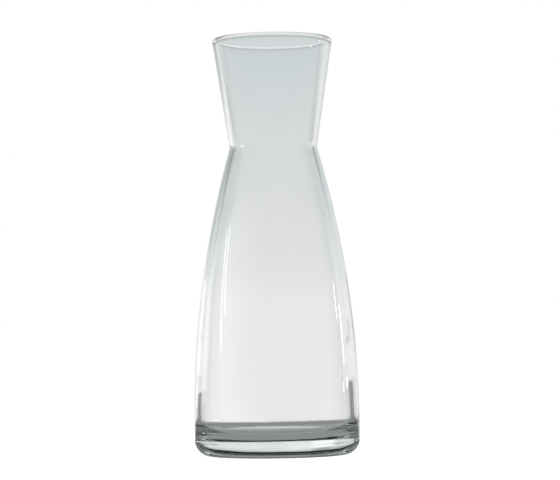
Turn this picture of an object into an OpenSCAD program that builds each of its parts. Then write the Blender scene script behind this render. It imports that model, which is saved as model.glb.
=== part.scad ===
// Clear glass table carafe of about one litre: a heavy flat base, one long arc of body
// up to a narrow waist, and a straight flaring neck with a fire-rounded lip.
// It is one piece of glass. The origin is the centre of the base, on the table, Z up.

/* [Overall] */
// Height from the table to the top of the lip
height = 260; // [240:1:300]
// Widest outside diameter, a little above the table
body_d = 103; // [96:1:116]
// Height of the widest place
widest_z = 20; // [14:1:30]

/* [Waist and neck] */
// Height of the waist
waist_z = 192; // [176:1:200]
// Outside diameter of the waist, before its bend is rounded
waist_d = 54.6; // [48:0.2:62]
// Outside bend radius of the waist
waist_bend_r = 8; // [3:0.5:12]
// Outside diameter of the lip
lip_d = 74.8; // [66:0.2:84]

/* [Wall] */
// Wall of the neck, measured square to it
neck_wall = 3; // [2.4:0.1:4]
// Wall half way up the body, measured level
mid_wall = 3.8; // [3:0.1:4.6]
// Height of the half way place
mid_z = 120; // [100:1:140]
// Wall at the widest place, measured level
low_wall = 4.7; // [4:0.1:6.5]

/* [Base] */
// Thickness of the glass bottom at its middle, from the table to the inner floor
floor_z = 11.5; // [9:0.1:15]
// Radius of the crown of the inner floor, which is highest at its middle
floor_crown_r = 440; // [300:10:900]
// Inside radius between the floor and the wall
floor_bend_r = 12; // [6:0.1:15]
// Outside radius of the heel
heel_r = 10; // [5:0.1:12]
// Width of the flat ring that it stands on, inside the heel
ring_w = 7; // [4:0.1:12]
// Height of the hollow inside the ring, at its middle
hollow_h = 0.9; // [0.5:0.1:3]

/* [Hidden] */
$fn = 180;
// How far the chords along an arc may lie inside it
arc_tolerance = 0.01;

// A 2-D vector at length one
function unit(v) = v / norm(v);
// A 2-D vector turned a quarter turn clockwise: out of the glass, for one that climbs the wall
function right_of(v) = [v.y, -v.x];
// The 2-D vector of length one at an angle, and the angle of a 2-D vector
function heading(a) = [cos(a), sin(a)];
function angle_of(v) = atan2(v.y, v.x);
// A list from its last entry to its first
function reversed(list) = [for (k = [len(list) - 1:-1:0]) list[k]];

// An arc is a stretch of a circle, and a circle is kept as [centre, radius].
// The circle that stands upright at p and goes through q
function circle_upright_at(p, q) =
    let (r = ((p.x - q.x) ^ 2 + (q.y - p.y) ^ 2) / (2 * (p.x - q.x)))
    [[p.x - r, p.y], r];
// The circle through three points
function circle_through(a, b, c) =
    let (
        u = b - a,
        v = c - a,
        to_centre = [v.y * (u * u) - u.y * (v * v), u.x * (v * v) - v.x * (u * u)]
            / (2 * (u.x * v.y - u.y * v.x))
    )
    [a + to_centre, norm(to_centre)];
// How far from the axis a circle's right side is at a height
function side_x(circle, z) = circle[0].x + sqrt(circle[1] ^ 2 - (z - circle[0].y) ^ 2);
// The circle of a crown, with its top on the axis
function crown_circle(top_z, r) = [[0, top_z - r], r];
// The circle of radius r that rounds the corner of the table's plane with the body's circle
function heel_circle(body, r) =
    [[body[0].x + sqrt((body[1] - r) ^ 2 - (r - body[0].y) ^ 2), r], r];
// The circle of radius r that rounds the corner of a crown with the body's circle above it
function corner_circle(body, crown, r) =
    let (
        step = crown[0] - body[0],
        far = body[1] - r,
        near = crown[1] + r,
        ahead = (far ^ 2 - near ^ 2 + step * step) / (2 * norm(step)),
        aside = sqrt(far ^ 2 - ahead ^ 2)
    )
    [body[0] + ahead * unit(step) - aside * right_of(unit(step)), r];
// The circle of radius r, right of the wall, that rounds the bend from the body's circle
// to the line through p along direction up
function bend_circle(body, p, up, r) =
    let (
        w = p + r * right_of(up) - body[0],
        along = -(w * up) + sqrt((w * up) ^ 2 - w * w + (body[1] + r) ^ 2)
    )
    [body[0] + w + along * up, r];
// Points along a circle from one angle to another, with or without its two ends
function arc_points(circle, from, to, ends = true) =
    let (
        widest_step = 2 * acos(1 - arc_tolerance / circle[1]),
        steps = ceil(abs(to - from) / widest_step),
        points = [
            for (k = [0:steps])
                circle[0] + circle[1] * heading(from + (to - from) * k / steps)
        ]
    )
    ends ? points : [for (k = [1:1:steps - 1]) points[k]];

// Outside: the body's circle, and the neck's line from the waist's corner to the lip's side
waist = [waist_d / 2, waist_z];
outer_body = circle_upright_at([body_d / 2, widest_z], waist);
lip_r = neck_wall / 2;
lip = [[lip_d / 2 - lip_r, height - lip_r], lip_r];
to_lip = lip[0] - waist;
neck_up = heading(angle_of(to_lip) - asin(lip_r / norm(to_lip)));
neck_out = right_of(neck_up);
neck_out_angle = angle_of(neck_out);

// Inside: the waist's corner one neck wall in, and a circle through the three walls
waist_out = unit(waist - outer_body[0]);
inner_waist = waist - neck_wall * (waist_out + neck_out) / (1 + waist_out * neck_out);
inner_body = circle_through(
    [side_x(outer_body, widest_z) - low_wall, widest_z],
    [side_x(outer_body, mid_z) - mid_wall, mid_z],
    inner_waist
);

// Bottom: the heel, and the hollow, which starts where the flat ring ends
heel = heel_circle(outer_body, heel_r);
hollow_edge = [heel[0].x - ring_w, 0];
hollow = crown_circle(hollow_h, (hollow_edge.x ^ 2 + hollow_h ^ 2) / (2 * hollow_h));

// Inner floor: its crown, its corner, and the angle of the place where they meet
floor_crown = crown_circle(floor_z, floor_crown_r);
floor_corner = corner_circle(inner_body, floor_crown, floor_bend_r);
floor_end_angle = angle_of(floor_corner[0] - floor_crown[0]);

// One side of the glass from its bottom to the start of the neck's line: the corner,
// from the angle where the bottom meets it, the body, and the bend of the waist
function side_points(body, corner, from, waist_corner, bend_r) =
    let (
        bend = bend_circle(body, waist_corner, neck_up, bend_r),
        corner_angle = angle_of(corner[0] - body[0]),
        bend_angle = angle_of(bend[0] - body[0])
    )
    concat(
        arc_points(corner, from, corner_angle),
        arc_points(body, corner_angle, bend_angle, ends = false),
        arc_points(bend, bend_angle + 180, neck_out_angle + 180)
    );

// Half section of the glass, right of the axis: up the outside, over the lip and down
// the inside to the middle of the floor
module glass_section() {
    polygon(concat(
        arc_points(hollow, 90, angle_of(hollow_edge - hollow[0])),
        side_points(outer_body, heel, -90, waist, waist_bend_r),
        arc_points(lip, neck_out_angle, neck_out_angle + 180),
        reversed(side_points(
            inner_body, floor_corner, floor_end_angle - 180, inner_waist,
            waist_bend_r + neck_wall
        )),
        arc_points(floor_crown, floor_end_angle, 90, ends = false),
        [[0, floor_z]]
    ));
}

// The blown glass: one solid of revolution
module glass_carafe() {
    color([0.80, 0.86, 0.85, 0.45])
        rotate_extrude()
            glass_section();
}

glass_carafe();
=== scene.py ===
"""Clear glass table carafe: its blown form, its glass, and the studio that it stands in.

Lengths are in metres and angles in degrees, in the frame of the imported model: +Z up,
origin at the middle of the base, on the table. The photograph's side faces -Y.
"""

from __future__ import annotations

import logging
import math
from collections.abc import Sequence
from dataclasses import dataclass, field
from enum import Enum
from typing import Any

import bpy
from mathutils import Matrix, Quaternion, Vector

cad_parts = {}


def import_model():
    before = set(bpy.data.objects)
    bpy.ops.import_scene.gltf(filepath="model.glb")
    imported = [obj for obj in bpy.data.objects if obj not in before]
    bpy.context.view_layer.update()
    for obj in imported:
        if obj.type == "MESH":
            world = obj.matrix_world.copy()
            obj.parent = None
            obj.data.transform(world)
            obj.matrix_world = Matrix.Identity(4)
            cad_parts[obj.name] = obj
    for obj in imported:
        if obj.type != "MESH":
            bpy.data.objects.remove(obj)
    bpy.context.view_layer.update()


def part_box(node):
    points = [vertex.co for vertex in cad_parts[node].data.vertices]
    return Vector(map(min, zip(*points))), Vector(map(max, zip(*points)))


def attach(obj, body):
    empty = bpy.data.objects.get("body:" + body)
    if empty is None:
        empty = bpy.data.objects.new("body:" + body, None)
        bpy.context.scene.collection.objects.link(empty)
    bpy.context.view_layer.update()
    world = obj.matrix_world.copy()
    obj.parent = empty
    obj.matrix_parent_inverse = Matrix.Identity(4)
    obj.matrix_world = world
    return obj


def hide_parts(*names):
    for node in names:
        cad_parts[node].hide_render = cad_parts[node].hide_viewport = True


LOG = logging.getLogger("carafe")
MM = 0.001
WHITE = (1.0, 1.0, 1.0, 1.0)

# Red, green and blue
Colour = tuple[float, float, float]
# Where a soft edge is 0 and where it is 1
SoftEdge = tuple[float, float]


class LightPath(Enum):
    """The kinds of light path that a stage material or the glass can tell apart."""

    CAMERA = "Is Camera Ray"
    SHADOW = "Is Shadow Ray"
    GLOSSY = "Is Glossy Ray"
    TRANSMISSION = "Is Transmission Ray"


class PushWay(Enum):
    """The ways in which the skin of the cavity is pushed."""

    ACROSS = "X"
    OUTWARD = "NORMAL"


class Shade:
    """A shader socket that can be added, multiplied and compared like a number."""

    def __init__(self, maker: NodeMaker, socket: bpy.types.NodeSocket | None) -> None:
        """Keeps the socket with the maker of its tree.

        Args:
            maker: The maker of nodes in the socket's tree.
            socket: The output socket that holds the value, or None for a closing node.
        """
        self.maker = maker
        self.socket = socket

    def _math(self, operation: str, *values: Number) -> Shade:
        """Adds one Math node.

        Args:
            operation: The node's operation.
            *values: Its inputs.

        Returns:
            The node's result.
        """
        inputs = dict(enumerate(values))
        return self.maker.add("ShaderNodeMath", {"operation": operation}, inputs)

    def __add__(self, other: Number) -> Shade:
        """Sum."""
        return self._math("ADD", self, other)

    __radd__ = __add__

    def __sub__(self, other: Number) -> Shade:
        """Difference."""
        return self._math("SUBTRACT", self, other)

    def __rsub__(self, other: Number) -> Shade:
        """Difference, with this shade taken away."""
        return self._math("SUBTRACT", other, self)

    def __mul__(self, other: Number) -> Shade:
        """Product."""
        return self._math("MULTIPLY", self, other)

    __rmul__ = __mul__

    def __truediv__(self, other: Number) -> Shade:
        """Quotient."""
        return self._math("DIVIDE", self, other)

    def root(self) -> Shade:
        """The square root."""
        return self._math("SQRT", self)

    def size(self) -> Shade:
        """The value without its sign."""
        return self._math("ABSOLUTE", self)

    def larger(self, other: Number) -> Shade:
        """The larger of this and another value."""
        return self._math("MAXIMUM", self, other)

    def angle_from(self, other: Number) -> Shade:
        """The angle, in radians, whose tangent is this over another value."""
        return self._math("ARCTAN2", self, other)

    def between(self, zero_at: float, one_at: float) -> Shade:
        """Eases from 0 to 1 over a soft edge, which rises or falls.

        Args:
            zero_at: The value that gives 0.
            one_at: The value that gives 1. It may be the smaller of the two.

        Returns:
            The eased share.
        """
        return self.maker.add(
            "ShaderNodeMapRange",
            {"interpolation_type": "SMOOTHSTEP"},
            {"Value": self, "From Min": zero_at, "From Max": one_at},
        )


Number = Shade | float
Value = Shade | float | Sequence[float]


class NodeMaker:
    """Makes nodes in one material's or world's tree."""

    def __init__(self, tree: bpy.types.NodeTree) -> None:
        """Empties the tree.

        Args:
            tree: The node tree to fill.
        """
        self.tree = tree
        tree.nodes.clear()

    def add(
        self,
        kind: str,
        settings: dict[str, Any] | None = None,
        inputs: dict[str | int, Value] | None = None,
        output: str | int = 0,
    ) -> Shade:
        """Adds one node.

        Args:
            kind: The node's type.
            settings: Its properties, set first. A ramp's stops are pairs of
                place and colour under "stops".
            inputs: Values or shades for its sockets, by name or number.
            output: The socket that the result is read from.

        Returns:
            The node's output.
        """
        node = self.tree.nodes.new(kind)
        for name, value in (settings or {}).items():
            if name == "stops":
                self._fill_ramp(node.color_ramp, value)
            else:
                setattr(node, name, value)
        for name, value in (inputs or {}).items():
            if isinstance(value, Shade):
                self.tree.links.new(value.socket, node.inputs[name])
            else:
                node.inputs[name].default_value = value
        return Shade(self, node.outputs[output] if len(node.outputs) else None)

    @staticmethod
    def _fill_ramp(ramp: bpy.types.ColorRamp, stops: Sequence[tuple[float, Colour]]) -> None:
        """Gives a colour ramp its stops.

        Args:
            ramp: The ramp.
            stops: Pairs of place and colour, from low to high.
        """
        while len(ramp.elements) > len(stops):
            ramp.elements.remove(ramp.elements[-1])
        while len(ramp.elements) < len(stops):
            ramp.elements.new(1.0)
        for element, (place, colour) in zip(ramp.elements, stops, strict=True):
            element.position = place
            element.color = (*colour, 1.0)

    def place(self) -> tuple[Shade, Shade, Shade, Shade]:
        """Object coordinates.

        Returns:
            The vector, and its x, y and z.
        """
        vector = self.add("ShaderNodeTexCoord", output="Object")
        x, y, z = (
            self.add("ShaderNodeSeparateXYZ", inputs={0: vector}, output=axis)
            for axis in range(3)
        )
        return vector, x, y, z

    def mix(self, share: Value, first: Value, second: Value) -> Shade:
        """Mixes two colours.

        Args:
            share: How much there is of the second.
            first: The first colour.
            second: The second colour.

        Returns:
            The mixture.
        """
        inputs = {0: share, 6: first, 7: second}
        return self.add("ShaderNodeMix", {"data_type": "RGBA"}, inputs, output=2)

    def scale(self, colour: Value, factor: Number) -> Shade:
        """Multiplies a colour by a number.

        Args:
            colour: The colour.
            factor: The number.

        Returns:
            The product.
        """
        inputs = {0: colour, "Scale": factor}
        return self.add("ShaderNodeVectorMath", {"operation": "SCALE"}, inputs)

    def light_path(self, path: LightPath) -> Shade:
        """1 on one kind of light path and 0 on the rest.

        Args:
            path: The kind.

        Returns:
            The mask.
        """
        return self.add("ShaderNodeLightPath", output=path.value)

    def off_glass(self) -> Shade:
        """1 on light paths that come off the glass or through it, and 0 on the rest."""
        return self.light_path(LightPath.GLOSSY).larger(self.light_path(LightPath.TRANSMISSION))


def new_material(name: str) -> tuple[bpy.types.Material, NodeMaker]:
    """Makes an empty material.

    Args:
        name: The material's name.

    Returns:
        The material, and the maker of its nodes.
    """
    material = bpy.data.materials.new(name)
    material.use_nodes = True
    return material, NodeMaker(material.node_tree)


def eased(share: float) -> float:
    """A share from 0 to 1 that starts and ends softly."""
    return share * share * (3 - 2 * share)


def line_points(start: Vector, end: Vector, steps: int) -> list[Vector]:
    """Evenly spaced points on a line.

    Args:
        start: The first point.
        end: The last point.
        steps: How many steps lie between them.

    Returns:
        The points between the two ends, without the ends.
    """
    return [start.lerp(end, k / steps) for k in range(1, steps)]


@dataclass(frozen=True)
class Circle:
    """A circle in the plane of the section: x is the distance from the axis, y the height."""

    centre: Vector
    radius: float

    @classmethod
    def upright_at(cls, p: Vector, q: Vector) -> Circle:
        """The circle that stands upright at one point and goes through another.

        Args:
            p: The point where it is upright.
            q: The other point, nearer to the axis.

        Returns:
            The circle.
        """
        step = q - p
        radius = step.length_squared / (-2 * step.x)
        return cls(Vector((p.x - radius, p.y)), radius)

    @classmethod
    def through(cls, a: Vector, b: Vector, c: Vector) -> Circle:
        """The circle through three points.

        Args:
            a: The first point.
            b: The second point.
            c: The third point.

        Returns:
            The circle.
        """
        u, v = b - a, c - a
        to_centre = Vector(
            (
                v.y * u.length_squared - u.y * v.length_squared,
                u.x * v.length_squared - v.x * u.length_squared,
            )
        )
        to_centre /= 2 * (u.x * v.y - u.y * v.x)
        return cls(a + to_centre, to_centre.length)

    @classmethod
    def crown(cls, top_z: float, radius: float) -> Circle:
        """The circle of a crowned bottom, whose top is on the axis.

        Args:
            top_z: The height of its top.
            radius: Its radius.

        Returns:
            The circle.
        """
        return cls(Vector((0.0, top_z - radius)), radius)

    def side_x(self, height: float) -> float:
        """How far its right side is from the axis at a height."""
        return self.centre.x + math.sqrt(self.radius**2 - (height - self.centre.y) ** 2)

    def angle_to(self, point: Vector) -> float:
        """The angle of a point seen from the centre."""
        step = point - self.centre
        return math.degrees(math.atan2(step.y, step.x))

    def points(self, start: float, end: float, steps: int) -> list[Vector]:
        """Points along it.

        Args:
            start: The angle of the first point.
            end: The angle of the last point.
            steps: How many steps lie between them.

        Returns:
            The points, both ends included.
        """
        angles = [math.radians(start + (end - start) * k / steps) for k in range(steps + 1)]
        return [
            self.centre + self.radius * Vector((math.cos(angle), math.sin(angle)))
            for angle in angles
        ]


@dataclass(frozen=True)
class Steps:
    """How many steps each stretch of the half section is cut into."""

    hollow: int = 12
    ring: int = 5
    corner: int = 20
    body: int = 72
    bend: int = 8
    neck: int = 26
    bead: int = 8
    lip: int = 20
    floor: int = 14


@dataclass
class GlassForm:
    """The sizes of the glass, and the half section that follows from them.

    Attributes:
        height: From the table to the top of the lip.
        body_r: Outside radius at the widest place.
        widest_z: Height of the widest place.
        waist_z: Height of the waist.
        waist_r: Outside radius of the waist, before its bend is rounded.
        waist_bend_r: Outside bend radius of the waist.
        lip_r: Outside radius of the lip.
        neck_wall: Wall of the neck, measured square to it.
        mid_wall: Wall half way up the body, measured level.
        mid_z: Height of the half way place.
        low_wall: Wall at the widest place, measured level.
        floor_z: Thickness of the bottom at its middle.
        floor_crown_r: Radius of the crown of the inner floor.
        floor_bend_r: Inside radius between the floor and the wall.
        heel_r: Outside radius of the heel.
        ring_w: Width of the flat ring that it stands on.
        hollow_h: Height of the hollow inside the ring, at its middle.
        bead: How far the rim's fire-rounded bead stands out on either side of the wall.
        bead_h: The height over which the wall swells to the bead.
        steps: The steps of each stretch.

    The places and circles below them are worked out from these.
    """

    height: float
    body_r: float
    widest_z: float = 20 * MM
    waist_z: float = 192 * MM
    waist_r: float = 27.3 * MM
    waist_bend_r: float = 8 * MM
    lip_r: float = 37.4 * MM
    neck_wall: float = 3 * MM
    mid_wall: float = 3.8 * MM
    mid_z: float = 120 * MM
    low_wall: float = 4.7 * MM
    floor_z: float = 11.5 * MM
    floor_crown_r: float = 440 * MM
    floor_bend_r: float = 12 * MM
    heel_r: float = 10 * MM
    ring_w: float = 7 * MM
    hollow_h: float = 0.9 * MM
    bead: float = 0.1 * MM
    bead_h: float = 1.8 * MM
    steps: Steps = Steps()
    waist: Vector = field(init=False)
    inner_waist: Vector = field(init=False)
    neck_up: Vector = field(init=False)
    neck_out: Vector = field(init=False)
    outer_body: Circle = field(init=False)
    inner_body: Circle = field(init=False)
    lip: Circle = field(init=False)
    rim: Circle = field(init=False)
    floor: Circle = field(init=False)
    floor_bend: Circle = field(init=False)
    heel: Circle = field(init=False)

    def __post_init__(self) -> None:
        """Works out the circles and lines that the section is made of."""
        self._set_neck()
        self._set_bodies()
        self.floor = Circle.crown(self.floor_z, self.floor_crown_r)
        self.floor_bend = self._corner(self.inner_body, self.floor, self.floor_bend_r)
        reach = math.sqrt(
            (self.outer_body.radius - self.heel_r) ** 2 - (self.heel_r - self.widest_z) ** 2
        )
        self.heel = Circle(Vector((self.outer_body.centre.x + reach, self.heel_r)), self.heel_r)

    def _set_neck(self) -> None:
        """Works out the lip, the bead, and the neck's line, which touches the lip's round."""
        self.waist = Vector((self.waist_r, self.waist_z))
        round_r = self.neck_wall / 2
        self.lip = Circle(Vector((self.lip_r - round_r, self.height - round_r)), round_r)
        self.rim = Circle(self.lip.centre - Vector((0.0, self.bead)), round_r + self.bead)
        to_lip = self.lip.centre - self.waist
        climb = math.atan2(to_lip.y, to_lip.x) - math.asin(round_r / to_lip.length)
        self.neck_up = Vector((math.cos(climb), math.sin(climb)))
        self.neck_out = Vector((self.neck_up.y, -self.neck_up.x))

    def _set_bodies(self) -> None:
        """Works out the body's outside and, from its three walls, its inside."""
        self.outer_body = Circle.upright_at(Vector((self.body_r, self.widest_z)), self.waist)
        waist_out = (self.waist - self.outer_body.centre).normalized()
        share = self.neck_wall / (1 + waist_out.dot(self.neck_out))
        self.inner_waist = self.waist - share * (waist_out + self.neck_out)
        self.inner_body = Circle.through(
            Vector((self.outer_body.side_x(self.widest_z) - self.low_wall, self.widest_z)),
            Vector((self.outer_body.side_x(self.mid_z) - self.mid_wall, self.mid_z)),
            self.inner_waist,
        )

    @property
    def neck_angle(self) -> float:
        """The angle of the way out of the neck's wall."""
        return math.degrees(math.atan2(self.neck_out.y, self.neck_out.x))

    @property
    def ring_edge(self) -> Vector:
        """The inner edge of the flat ring, where the hollow starts."""
        return Vector((self.heel.centre.x - self.ring_w, 0.0))

    @staticmethod
    def _corner(body: Circle, crown: Circle, radius: float) -> Circle:
        """The circle that rounds the corner between the body and the floor.

        Args:
            body: The body's circle, which the corner lies inside.
            crown: The floor's circle, which the corner lies on.
            radius: The corner's radius.

        Returns:
            The corner's circle.
        """
        far, near = body.radius - radius, crown.radius + radius
        step = crown.centre - body.centre
        along = (far**2 - near**2 + step.length_squared) / (2 * step.length)
        across = math.sqrt(far**2 - along**2)
        ahead = step.normalized()
        aside = Vector((-ahead.y, ahead.x))
        return Circle(body.centre + along * ahead + across * aside, radius)

    def _bend(self, body: Circle, corner: Vector, radius: float) -> Circle:
        """The circle, outside the wall, that rounds the waist.

        Args:
            body: The body's circle.
            corner: The waist's corner before it is rounded.
            radius: The bend's radius.

        Returns:
            The bend's circle.
        """
        start = corner + radius * self.neck_out - body.centre
        climb = start.dot(self.neck_up)
        reach = climb**2 - start.length_squared + (body.radius + radius) ** 2
        along = math.sqrt(reach) - climb
        return Circle(body.centre + start + along * self.neck_up, radius)

    def _side(
        self, body: Circle, foot: Circle, foot_angle: float, waist: Vector, bend_r: float
    ) -> list[Vector]:
        """One skin from its bottom to the start of the neck's line.

        Args:
            body: The body's circle.
            foot: The circle of the corner at the bottom.
            foot_angle: The angle at which the corner leaves the bottom.
            waist: The waist's corner before it is rounded.
            bend_r: The radius that rounds it.

        Returns:
            The points, from the bottom up.
        """
        bend = self._bend(body, waist, bend_r)
        low, high = body.angle_to(foot.centre), body.angle_to(bend.centre)
        return (
            foot.points(foot_angle, low, self.steps.corner)
            + body.points(low, high, self.steps.body)[1:-1]
            + bend.points(high + 180, self.neck_angle + 180, self.steps.bend)
        )

    def _swell(self, rim: Vector, wall: Vector) -> list[Vector]:
        """One side of the bead, where the wall swells towards the rim.

        Args:
            rim: The point where the rim's round starts.
            wall: The point where the neck's wall starts.

        Returns:
            The points, from the rim down to the plain wall, both ends included.
        """
        inward = (self.lip.centre - rim).normalized() * self.bead
        down = (wall - rim - inward).normalized() * self.bead_h
        shares = [k / self.steps.bead for k in range(self.steps.bead + 1)]
        return [rim + down * share + inward * eased(share) for share in shares]

    def section(self) -> list[Vector]:
        """The whole half section.

        Returns:
            Points from the middle of the hollow, up the outside, over the lip and down
            the inside to the middle of the floor.
        """
        outer = self._side(self.outer_body, self.heel, -90.0, self.waist, self.waist_bend_r)
        floor_end = self.floor.angle_to(self.floor_bend.centre)
        inner = self._side(
            self.inner_body, self.floor_bend, floor_end - 180, self.inner_waist,
            self.waist_bend_r + self.neck_wall,
        )
        inner.reverse()
        edge = self.ring_edge
        hollow = Circle.crown(
            self.hollow_h, (edge.x**2 + self.hollow_h**2) / (2 * self.hollow_h)
        )
        over = self.rim.points(self.neck_angle, self.neck_angle + 180, self.steps.lip)
        bead_out, bead_in = self._swell(over[0], outer[-1]), self._swell(over[-1], inner[0])
        return (
            hollow.points(90, hollow.angle_to(edge), self.steps.hollow)
            + line_points(edge, outer[0], self.steps.ring)
            + outer
            + line_points(outer[-1], bead_out[-1], self.steps.neck)
            + bead_out[:0:-1]
            + over
            + bead_in[1:]
            + line_points(bead_in[-1], inner[0], self.steps.neck)
            + inner
            + self.floor.points(floor_end, 90, self.steps.floor)[1:]
        )


@dataclass(frozen=True)
class ClearGlass:
    """Clear soda-lime glass: a faint grey-green where it is thick, softly wavy from blowing.

    Attributes:
        skin: The tint of each pass through its skin.
        tint: The colour that its thickness turns towards.
        tint_per_metre: How fast it does.
        ior: How strongly it bends light.
        shadow: What its shadow lets through.
        wave_size: How close the waves are.
        wave_stretch: How close they are up and down, as a share of that.
        wave_detail: How many finer waves ride on them.
        wave_roughness: How strong the finer waves are.
        wave_depth: How deep the waves are.
        smudge_size: How close the smudges are.
        smudge_detail: How many finer smudges ride on them.
        smudge_roughness: How strong the finer smudges are.
        smudge_edge: The noise at which a smudge starts and is full.
        haze: How rough a full smudge is.
    """

    skin: Colour = (0.985, 0.993, 0.99)
    tint: Colour = (0.45, 0.66, 0.62)
    tint_per_metre: float = 2.6
    ior: float = 1.52
    shadow: Colour = (0.9, 0.93, 0.92)
    wave_size: float = 26.0
    wave_stretch: float = 0.45
    wave_detail: float = 1.5
    wave_roughness: float = 0.4
    wave_depth: float = 0.04 * MM
    smudge_size: float = 55.0
    smudge_detail: float = 5.0
    smudge_roughness: float = 0.6
    smudge_edge: SoftEdge = (0.45, 0.8)
    haze: float = 0.006

    def material(self, name: str) -> bpy.types.Material:
        """Makes the material.

        Args:
            name: The material's name.

        Returns:
            The material.
        """
        material, make = new_material(name)
        place, *_ = make.place()
        glass = make.add(
            "ShaderNodeBsdfPrincipled",
            inputs={
                "Base Color": (*self.skin, 1.0),
                "Transmission Weight": 1.0,
                "IOR": self.ior,
                "Roughness": self._smudges(make, place) * self.haze,
                "Normal": self._waves(make, place),
            },
        )
        absorbed = {"Color": (*self.tint, 1.0), "Density": self.tint_per_metre}
        volume = make.add("ShaderNodeVolumeAbsorption", inputs=absorbed)
        clear = make.add("ShaderNodeBsdfTransparent", inputs={"Color": (*self.shadow, 1.0)})
        in_shadow = make.light_path(LightPath.SHADOW)
        surface = make.add("ShaderNodeMixShader", inputs={0: in_shadow, 1: glass, 2: clear})
        make.add("ShaderNodeOutputMaterial", inputs={"Surface": surface, "Volume": volume})
        return material

    def _waves(self, make: NodeMaker, place: Shade) -> Shade:
        """The soft waves of blown glass.

        Args:
            make: The maker of nodes.
            place: Object coordinates.

        Returns:
            The normal.
        """
        long_place = make.add(
            "ShaderNodeMapping",
            {"vector_type": "POINT"},
            {"Vector": place, "Scale": (1.0, 1.0, self.wave_stretch)},
        )
        waves = make.add(
            "ShaderNodeTexNoise",
            {"noise_dimensions": "3D"},
            {
                "Vector": long_place,
                "Scale": self.wave_size,
                "Detail": self.wave_detail,
                "Roughness": self.wave_roughness,
            },
        )
        height = {"Height": waves, "Strength": 1.0, "Distance": self.wave_depth}
        return make.add("ShaderNodeBump", inputs=height)

    def _smudges(self, make: NodeMaker, place: Shade) -> Shade:
        """Faint smudges from handling.

        Args:
            make: The maker of nodes.
            place: Object coordinates.

        Returns:
            0 where the glass is clean and 1 in a full smudge.
        """
        smudges = make.add(
            "ShaderNodeTexNoise",
            {"noise_dimensions": "3D"},
            {
                "Vector": place,
                "Scale": self.smudge_size,
                "Detail": self.smudge_detail,
                "Roughness": self.smudge_roughness,
            },
        )
        return smudges.between(*self.smudge_edge)


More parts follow.
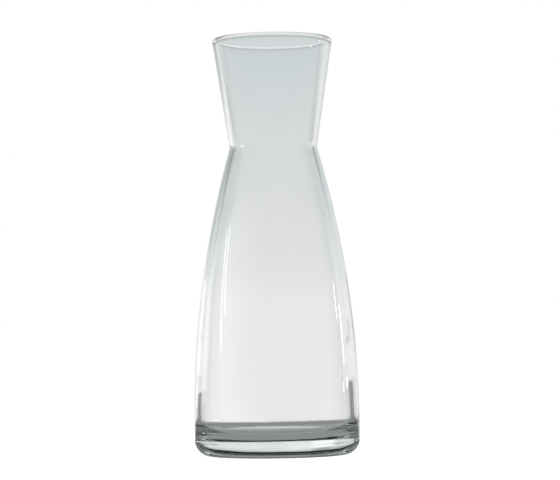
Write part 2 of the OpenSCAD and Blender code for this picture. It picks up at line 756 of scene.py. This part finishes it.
@dataclass
class Carafe:
    """The one piece of blown glass.

    Attributes:
        form: Its sizes.
        glass: Its finish.
        turns: How many faces it has round.
        weld: How near to each other two points are joined.
        flat: How far from the table a face of the flat ring may be.
        stipple: How deep the dimples in the ring are.
        dimple_rim: How far a dimple lies inside its face.
        core_shift: How far the cavity's foot stands to the left.
        wander: How far its wall wanders.
        wander_size: How long the wandering's clouds are.
        belly: How far the wall swells outwards low down.
        belly_z: The height of the middle of that swelling.
        belly_h: How far the swelling reaches up and down.
        floor_tilt: The tilt of the cavity's floor.
        floor_drop: How far below its middle the floor's edge may lie.
        floor_slack: How far past the floor's edge its tilt takes points with it.
        tilt_reach: How far up the wall the tilt fades out.
    """

    form: GlassForm
    glass: ClearGlass
    turns: int = 192
    weld: float = 0.002 * MM
    flat: float = 0.01 * MM
    stipple: float = 0.05 * MM
    dimple_rim: float = 0.3 * MM
    core_shift: float = 0.6 * MM
    wander: float = 0.3 * MM
    wander_size: float = 40 * MM
    belly: float = 0.6 * MM
    belly_z: float = 65 * MM
    belly_h: float = 45 * MM
    floor_tilt: float = 0.5
    floor_drop: float = 3 * MM
    floor_slack: float = 1 * MM
    tilt_reach: float = 25 * MM

    def build(self) -> bpy.types.Object:
        """Lathes the section, makes it a little uneven, and dresses it.

        Returns:
            The finished piece.
        """
        piece = self._lathe()
        self._stipple(piece)
        self._wander(piece)
        self._tilt_floor(piece)
        piece.data.materials.clear()
        piece.data.materials.append(self.glass.material("clear_glass"))
        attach(piece, "root")
        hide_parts("glass_carafe")
        return piece

    def _lathe(self) -> bpy.types.Object:
        """Draws the section by extruding one point, and spins it.

        Returns:
            The spun form.
        """
        section = self.form.section()
        start = section[0]
        bpy.ops.object.select_all(action="DESELECT")
        bpy.ops.mesh.primitive_plane_add(size=MM, location=(start.x, 0.0, start.y))
        piece = bpy.context.object
        piece.name = piece.data.name = "blown_glass"
        bpy.ops.object.transform_apply(location=True)
        bpy.ops.object.mode_set(mode="EDIT")
        bpy.ops.mesh.select_all(action="SELECT")
        bpy.ops.mesh.merge(type="CENTER")
        for here, there in zip(section[:-1], section[1:], strict=True):
            step = there - here
            bpy.ops.mesh.extrude_region_move(
                TRANSFORM_OT_translate={"value": (step.x, 0.0, step.y)}
            )
        bpy.ops.mesh.select_all(action="SELECT")
        bpy.ops.mesh.spin(
            steps=self.turns, angle=math.tau, center=(0.0, 0.0, 0.0), axis=(0.0, 0.0, 1.0)
        )
        bpy.ops.mesh.select_all(action="SELECT")
        bpy.ops.mesh.remove_doubles(threshold=self.weld)
        bpy.ops.mesh.normals_make_consistent(inside=False)
        bpy.ops.object.mode_set(mode="OBJECT")
        bpy.ops.object.shade_smooth()
        return piece

    @staticmethod
    def _deselect_mesh(select_mode: str) -> None:
        """Deselects all of the active piece's mesh.

        Args:
            select_mode: What is picked next, FACE or VERT.
        """
        bpy.ops.object.mode_set(mode="EDIT")
        bpy.ops.mesh.select_mode(type=select_mode)
        bpy.ops.mesh.select_all(action="DESELECT")
        bpy.ops.object.mode_set(mode="OBJECT")

    def _stipple(self, piece: bpy.types.Object) -> None:
        """Presses the mould's fine dimples into the ring that it stands on.

        Args:
            piece: The spun form.
        """
        rows = self.form.steps.ring
        row_w = self.form.ring_w / rows
        inner_r = self.form.ring_edge.x
        self._deselect_mesh("FACE")
        for face in piece.data.polygons:
            x, y, z = face.center
            row = math.floor((math.hypot(x, y) - inner_r) / row_w)
            column = math.floor(math.atan2(y, x) / math.tau * self.turns)
            on_ring = z < self.flat and 0 < row < rows - 1
            face.select = on_ring and (row + column) % 2 == 0
        bpy.ops.object.mode_set(mode="EDIT")
        bpy.ops.mesh.inset(
            thickness=self.dimple_rim, depth=-self.stipple, use_individual=True
        )
        bpy.ops.object.mode_set(mode="OBJECT")

    def _wander(self, piece: bpy.types.Object) -> None:
        """Lets the cavity wander a little inside the glass, as it does when blown.

        Args:
            piece: The spun form.
        """
        form = self.form
        inside = piece.vertex_groups.new(name="inside")
        belly = piece.vertex_groups.new(name="belly")
        for vertex in piece.data.vertices:
            x, y, z = vertex.co
            if self._is_inside(math.hypot(x, y), z):
                fade = 1 - max(0.0, z - form.floor_z) / (form.waist_z - form.floor_z)
                inside.add([vertex.index], fade, "REPLACE")
                bulge = max(0.0, 1 - abs(z - self.belly_z) / self.belly_h)
                belly.add([vertex.index], eased(bulge), "REPLACE")
        clouds = bpy.data.textures.new("wall_wander", "CLOUDS")
        clouds.noise_scale = self.wander_size
        self._push(piece, "inside", PushWay.ACROSS, -self.core_shift)
        self._push(piece, "inside", PushWay.OUTWARD, self.wander, clouds)
        self._push(piece, "belly", PushWay.OUTWARD, self.belly)

    @staticmethod
    def _push(
        piece: bpy.types.Object,
        group: str,
        way: PushWay,
        strength: float,
        texture: bpy.types.Texture | None = None,
    ) -> None:
        """Pushes a group of the piece's points, and keeps the result.

        Args:
            piece: The piece.
            group: The vertex group that is pushed, by its weights.
            way: The way that it goes.
            strength: How far.
            texture: What varies it, half of it each way, or None for all of it one way.
        """
        push = piece.modifiers.new(f"push_{group}", "DISPLACE")
        push.vertex_group = group
        push.direction = way.value
        push.strength = strength
        push.mid_level = 0.5 if texture else 0.0
        push.texture = texture
        bpy.ops.object.modifier_apply(modifier=push.name)

    def _tilt_floor(self, piece: bpy.types.Object) -> None:
        """Tilts the cavity's floor by the angle that the photograph shows.

        Args:
            piece: The spun form.
        """
        form = self.form
        reach = form.floor_bend.centre.x + self.floor_slack
        self._deselect_mesh("VERT")
        for vertex in piece.data.vertices:
            x, y, z = vertex.co
            low = form.floor_z - self.floor_drop < z < form.floor_z + self.floor_slack
            vertex.select = low and math.hypot(x, y) < reach
        bpy.ops.object.mode_set(mode="EDIT")
        bpy.ops.transform.rotate(
            value=math.radians(self.floor_tilt),
            orient_axis="Y",
            center_override=(0.0, 0.0, form.floor_z),
            use_proportional_edit=True,
            use_proportional_connected=True,
            proportional_edit_falloff="SMOOTH",
            proportional_size=self.tilt_reach,
        )
        bpy.ops.object.mode_set(mode="OBJECT")

    def _is_inside(self, r: float, z: float) -> bool:
        """Whether a point of the skin belongs to the cavity, below the waist.

        Args:
            r: Its distance from the axis.
            z: Its height.

        Returns:
            True on the cavity's side of the middle of the wall.
        """
        form = self.form
        if not form.floor_z - self.floor_drop < z < form.waist_z - form.waist_bend_r:
            return False
        return r < form.outer_body.side_x(z) - form.neck_wall / 2


@dataclass(frozen=True)
class LightField:
    """The light that the glass sees round it, as it was set up for the photograph.

    Behind the glass is a lit field. A dim flag of painted shade stands at either end of it,
    and past the flags the room is softer all the way round; all of it is light and shade
    painted on the table and the backdrop. A turn is a share of the half turn from straight
    behind the glass to the camera.

    Attributes:
        to_right: How far the field's middle stands to the right.
        shoulder: The turn at which the field's brighter shoulder starts.
        shoulder_end: The turn at which it falls off.
        shoulder_fall: How much of it falls off there.
        shoulder_light: The light in the shoulder, where the field's middle has 1.
        left_side: The angle in radians at which the left side, which is brighter, starts.
        right_share: How much of the left side's extra light the right side has.
        foot_edge: The turn at which the flags start, on the table.
        flag_softness: Half the width of a flag's soft edge.
        flag_end: The turn at which the flags end.
        room_light: The light past the flags.
        table: The colour of the open table.
        under: The colour of the painted shadow on the table round the glass.
        flag: The tint of the flags.
        flag_light: How light the flags are at their foot and at their top.
    """

    to_right: float = 2.0
    shoulder: SoftEdge = (0.01, 0.05)
    shoulder_end: SoftEdge = (0.07, 0.14)
    shoulder_fall: float = 0.7
    shoulder_light: float = 1.12
    left_side: SoftEdge = (-0.05, 0.05)
    right_share: float = 0.35
    foot_edge: float = 0.177
    flag_softness: float = 0.02
    flag_end: SoftEdge = (0.36, 0.42)
    room_light: float = 0.6
    table: Colour = (0.9, 0.883, 0.883)
    under: Colour = (0.25, 0.265, 0.26)
    flag: Colour = (0.95, 1.0, 0.98)
    flag_light: tuple[float, float] = (0.25, 0.34)

    def at(self, left: Shade, edge: Number, shoulder_light: Number) -> tuple[Shade, Shade]:
        """The light at a place.

        Args:
            left: How far to the left of straight behind the place is, in radians.
            edge: The turn at which the flags start.
            shoulder_light: The light in the shoulder.

        Returns:
            0 on a flag and 1 elsewhere, and the light elsewhere.
        """
        turn = (left + math.radians(self.to_right)).size() / math.pi
        share = self.right_share + left.between(*self.left_side) * (1 - self.right_share)
        fall = turn.between(*self.shoulder_end) * self.shoulder_fall
        shoulder = turn.between(*self.shoulder) * (1 - fall) * share
        past_flags = turn.between(*self.flag_end)
        room = 1 - past_flags * (1 - self.room_light)
        softness = self.flag_softness
        flag = (turn - edge).between(-softness, softness) * (1 - past_flags)
        return 1 - flag, (1 + shoulder * (shoulder_light - 1)) * room


@dataclass(frozen=True)
class Card:
    """A card on the left of the backdrop, of painted light or painted shade, brighter or dimmer
    than the rest.

    Attributes:
        near: The angle in radians to the left of straight behind at which it starts.
        far: The angle at which it ends.
        level: The height at which it starts or ends.
        gain: How much light it adds, as a share.
    """

    near: SoftEdge
    far: SoftEdge
    level: SoftEdge
    gain: float

    def light(self, left: Shade, z: Shade) -> Shade:
        """The share of light that it adds at a place.

        Args:
            left: How far to the left of straight behind the place is, in radians.
            z: The height of the place.

        Returns:
            The share.
        """
        across = left.between(*self.near) * left.between(*self.far)
        return across * z.between(*self.level) * self.gain


@dataclass
class Table:
    """A round white table. The glass sees it pale, with a painted shadow close round itself.

    Attributes:
        light: The light that the glass sees.
        radius: Its radius.
        corners: How many corners its edge has.
        paint: Its colour under the lamps.
        roughness: How matt it is.
        glow: The light that makes it white to the camera.
        open_behind: How far behind the axis the painted shadow ends and it is pale.
        open_round: How far from the axis the painted shadow ends on every side.
    """

    light: LightField
    radius: float
    corners: int = 96
    paint: Colour = (0.8, 0.8, 0.8)
    roughness: float = 0.9
    glow: float = 0.75
    open_behind: SoftEdge = (0.09, 0.14)
    open_round: SoftEdge = (0.16, 0.26)

    def build(self) -> None:
        """Makes the table and paints it."""
        bpy.ops.object.select_all(action="DESELECT")
        bpy.ops.mesh.primitive_circle_add(
            vertices=self.corners, radius=self.radius, fill_type="NGON"
        )
        table = bpy.context.object
        table.name = "table"
        material, make = new_material("white_table")
        camera_sees = make.add(
            "ShaderNodeBsdfPrincipled",
            inputs={
                "Base Color": (*self.paint, 1.0),
                "Roughness": self.roughness,
                "Specular IOR Level": 0.0,
                "Emission Color": WHITE,
                "Emission Strength": make.light_path(LightPath.CAMERA) * self.glow,
            },
        )
        glass_sees = make.add("ShaderNodeEmission", inputs={"Color": self._tone(make)})
        surface = make.add(
            "ShaderNodeMixShader", inputs={0: make.off_glass(), 1: camera_sees, 2: glass_sees}
        )
        make.add("ShaderNodeOutputMaterial", inputs={"Surface": surface})
        table.data.materials.append(material)

    def _tone(self, make: NodeMaker) -> Shade:
        """What the glass sees of it.

        Args:
            make: The maker of nodes.

        Returns:
            The colour.
        """
        light = self.light
        _, x, y, _ = make.place()
        off_flag, lit = light.at(0.0 - x.angle_from(y), light.foot_edge, light.shoulder_light)
        # Painted shade: the dim flags on the table, with the lit field between them.
        flag = make.scale(light.flag, light.flag_light[0])
        open_table = make.mix(off_flag, flag, make.scale(light.table, lit))
        # Painted shadow: dark close round the glass's foot, pale behind it and further out.
        r = (x * x + y * y).root()
        past_painted_shadow = y.between(*self.open_behind).larger(r.between(*self.open_round))
        return make.mix(past_painted_shadow, (*light.under, 1.0), open_table)


@dataclass
class Backdrop:
    """A paper roll all round the table, painted with light and shade, seen only in the glass and
    through it.

    Attributes:
        light: The light that the glass sees.
        radius: Its radius.
        height: Its height.
        corners: How many corners its edge has.
        body_edge: The turn at which the flags start, at the height of the body.
        body_z: The height at which they reach that edge.
        top_edge: The turn at which they start above.
        top_z: The height at which they reach that edge.
        flag_z: The height over which the flags grow lighter.
        shoulder_z: The height at which the field's shoulders have faded out.
        fade: Heights, and the painted light on the paper at each, which grows darker higher up.
        cards: The cards of painted light and painted shade on its left.
    """

    light: LightField
    radius: float
    height: float = 3.0
    corners: int = 128
    body_edge: float = 0.34
    body_z: SoftEdge = (0.05, 0.15)
    top_edge: float = 0.2
    top_z: SoftEdge = (0.72, 0.8)
    flag_z: SoftEdge = (0.4, 0.8)
    shoulder_z: SoftEdge = (0.26, 0.36)
    fade: tuple[tuple[float, Colour], ...] = (
        (0.06, (0.9, 0.887, 0.89)),
        (0.1371, (0.87, 0.862, 0.865)),
        (0.213, (0.84, 0.84, 0.845)),
        (0.3279, (0.8, 0.805, 0.81)),
        (0.4431, (0.76, 0.785, 0.79)),
        (0.6, (0.665, 0.715, 0.735)),
        (0.81, (0.58, 0.615, 0.625)),
        (0.96, (0.45, 0.47, 0.475)),
        (1.35, (0.25, 0.26, 0.26)),
    )
    cards: tuple[Card, ...] = (
        Card(near=(0.25, 0.35), far=(0.6, 0.5), level=(0.34, 0.28), gain=0.3),
        Card(near=(0.28, 0.36), far=(0.6, 0.45), level=(0.32, 0.38), gain=-0.35),
    )

    def build(self) -> None:
        """Makes the backdrop and paints it."""
        bpy.ops.object.select_all(action="DESELECT")
        bpy.ops.mesh.primitive_cylinder_add(
            vertices=self.corners, radius=self.radius, depth=self.height,
            end_fill_type="NOTHING", location=(0.0, 0.0, self.height / 2),
        )
        bpy.ops.object.transform_apply(location=True)
        backdrop = bpy.context.object
        backdrop.name = "backdrop"
        material, make = new_material("paper_backdrop")
        glow = make.add("ShaderNodeEmission", inputs={"Color": self._tone(make), "Strength": 1.0})
        clear = make.add("ShaderNodeBsdfTransparent")
        surface = make.add(
            "ShaderNodeMixShader", inputs={0: make.off_glass(), 1: clear, 2: glow}
        )
        make.add("ShaderNodeOutputMaterial", inputs={"Surface": surface})
        backdrop.data.materials.append(material)

    def _tone(self, make: NodeMaker) -> Shade:
        """What the glass sees of it.

        Args:
            make: The maker of nodes.

        Returns:
            The colour.
        """
        light = self.light
        _, x, y, z = make.place()
        left = 0.0 - x.angle_from(y)
        body = light.foot_edge + z.between(*self.body_z) * (self.body_edge - light.foot_edge)
        edge = body + z.between(*self.top_z) * (self.top_edge - self.body_edge)
        faded = z.between(*self.shoulder_z) * (1 - light.shoulder_light)
        off_flag, lit = light.at(left, edge, light.shoulder_light + faded)
        dim, less_dim = light.flag_light
        # Painted shade: the dim flags on the backdrop, lighter higher up.
        flag = make.scale(light.flag, dim + z.between(*self.flag_z) * (less_dim - dim))
        stops = [(0.0, light.table)]
        stops += [(height / self.height, colour) for height, colour in self.fade]
        # Painted light: the paper grows darker higher up, by the fade's stops.
        paper = make.add("ShaderNodeValToRGB", {"stops": stops}, {0: z / self.height})
        gain = sum((card.light(left, z) for card in self.cards), start=1.0)
        return make.mix(off_flag, flag, make.scale(paper, lit * gain))


def facing(at: Vector, aim: Vector, lean: float) -> Quaternion:
    """Turns a lamp or camera towards a point.

    Args:
        at: Where it is.
        aim: The point.
        lean: How far it leans over to its side.

    Returns:
        The turn.
    """
    face = (aim - at).to_track_quat("-Z", "Y").to_matrix().to_4x4()
    return (face @ Matrix.Rotation(math.radians(lean), 4, "Z")).to_quaternion()


def on_stand(turn: float, away: float, height: float) -> tuple[Vector, Vector]:
    """A place round the carafe.

    Args:
        turn: How far round from the camera it is, clockwise seen from above.
        away: How far from the carafe's axis it is.
        height: Its height.

    Returns:
        The place, and the point on the axis at its height.
    """
    angle = math.radians(turn)
    on_axis = Vector((0.0, 0.0, height))
    return on_axis + Vector((-math.sin(angle), -math.cos(angle), 0.0)) * away, on_axis


@dataclass(frozen=True)
class SoftBox:
    """A rectangular lamp, hidden from the camera.

    Attributes:
        name: Its name.
        at: Where its middle hangs.
        aim: The point that it faces.
        width: Its width.
        tall: Its height.
        watts: Its power.
        lean: How far it leans over to its side.
        reflected: Whether it shows in the glass.
    """

    name: str
    at: Vector
    aim: Vector
    width: float
    tall: float
    watts: float
    lean: float = 0.0
    reflected: bool = True

    def build(self) -> None:
        """Hangs the lamp."""
        bpy.ops.object.light_add(type="AREA", location=self.at)
        lamp = bpy.context.object
        lamp.name = self.name
        lamp.data.shape = "RECTANGLE"
        lamp.data.size, lamp.data.size_y = self.width, self.tall
        lamp.data.energy = self.watts
        lamp.visible_camera = False
        lamp.visible_glossy = lamp.visible_transmission = self.reflected
        lamp.rotation_mode = "QUATERNION"
        lamp.rotation_quaternion = facing(self.at, self.aim, self.lean)


@dataclass
class Studio:
    """A white table, a pale backdrop all round, soft lamps, and a white background.

    Attributes:
        light: The light that the glass sees.
        radius: The radius of the table and the backdrop.
        lamps_away: How far from the axis the two tall lamps stand.
        even_light: The background's light, where the camera sees 1.
        glass_loss: How much less of it the glass sees.
    """

    light: LightField = LightField()
    radius: float = 3.0
    lamps_away: float = 2.7
    even_light: float = 0.4
    glass_loss: float = 0.25

    def build(self) -> None:
        """Makes the table, the backdrop, the lamps and the background."""
        Table(self.light, self.radius).build()
        Backdrop(self.light, self.radius).build()
        for lamp in self._lamps():
            lamp.build()
            LOG.info("%s: %g W", lamp.name, lamp.watts)
        self._background()

    def _lamps(self) -> list[SoftBox]:
        """The lamps.

        Returns:
            A tall one on the left, a short one behind on the right, a small one close by
            and low that carries its streak down the wall, and one overhead.
        """
        return [
            SoftBox(
                "left_soft_box", *on_stand(turn=91.0, away=self.lamps_away, height=0.64),
                width=0.08, tall=0.76, watts=1.2, lean=36.0,
            ),
            SoftBox(
                "right_soft_box", *on_stand(turn=-111.5, away=self.lamps_away, height=0.33),
                width=0.1, tall=0.275, watts=0.6,
            ),
            SoftBox(
                "low_soft_box", *on_stand(turn=-113.3, away=0.63, height=0.0553),
                width=0.0225, tall=0.0168, watts=0.0086,
            ),
            SoftBox(
                "top_soft_box", Vector((0.1, -0.5, 1.5)), Vector((0.0, 0.0, 0.1)),
                width=0.9, tall=0.9, watts=9.0, reflected=False,
            ),
        ]

    def _background(self) -> None:
        """White to the camera, and a plain even light elsewhere."""
        world = bpy.data.worlds.new("studio")
        world.use_nodes = True
        bpy.context.scene.world = world
        make = NodeMaker(world.node_tree)
        seen = make.light_path(LightPath.CAMERA) * (1 - self.even_light)
        strength = self.even_light + seen - make.off_glass() * self.glass_loss
        light = make.add("ShaderNodeBackground", inputs={"Color": WHITE, "Strength": strength})
        make.add("ShaderNodeOutputWorld", inputs={"Surface": light})


@dataclass
class Portrait:
    """The camera, lower than half the carafe's height, as the photograph was taken.

    Attributes:
        distance: How far in front of the axis it stands.
        eye_z: The height of its lens.
        roll: How far it leans over to its right.
        sensor: The width of its sensor.
        picture_w: The picture's width in pixels.
        picture_h: The picture's height in pixels.
        pixel: The size of a pixel at the axis.
        axis_px: Where the axis is, in pixels from the picture's left.
        horizon_px: Where the lens's own height is, in pixels from the picture's top.
    """

    distance: float = 1.45
    eye_z: float = 77 * MM
    roll: float = 0.8
    sensor: float = 36 * MM
    picture_w: int = 560
    picture_h: int = 480
    pixel: float = 0.6246 * MM
    axis_px: float = 274.6
    horizon_px: float = 331.1

    def build(self) -> None:
        """Places the camera and makes it the scene's."""
        eye = Vector((0.0, -self.distance, self.eye_z))
        to_right = (self.picture_w / 2 - self.axis_px) * self.pixel
        up = (self.horizon_px - self.picture_h / 2) * self.pixel
        bpy.ops.object.camera_add(location=eye)
        camera = bpy.context.object
        camera.name = "portrait_camera"
        camera.rotation_mode = "QUATERNION"
        camera.rotation_quaternion = facing(
            eye, Vector((to_right, 0.0, self.eye_z + up)), -self.roll
        )
        camera.data.sensor_width = self.sensor / MM
        camera.data.lens = camera.data.sensor_width * self.distance / (self.picture_w * self.pixel)
        camera.data.clip_start = self.distance / 100
        camera.data.clip_end = self.distance * 10
        bpy.context.scene.camera = camera


def main() -> None:
    """Builds the carafe and its studio, and reports each piece."""
    logging.basicConfig(level=logging.INFO, format="%(name)s: %(message)s")
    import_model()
    low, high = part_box("glass_carafe")
    form = GlassForm(height=high[2], body_r=(high[0] - low[0]) / 2)
    piece = Carafe(form, ClearGlass()).build()
    LOG.info("%s: %d faces", piece.name, len(piece.data.polygons))
    Studio().build()
    LOG.info("studio: table, backdrop, lamps and background")
    Portrait().build()
    LOG.info("camera placed")
    bpy.context.scene.view_settings.view_transform = "Standard"


if __name__ == "__main__":
    main()
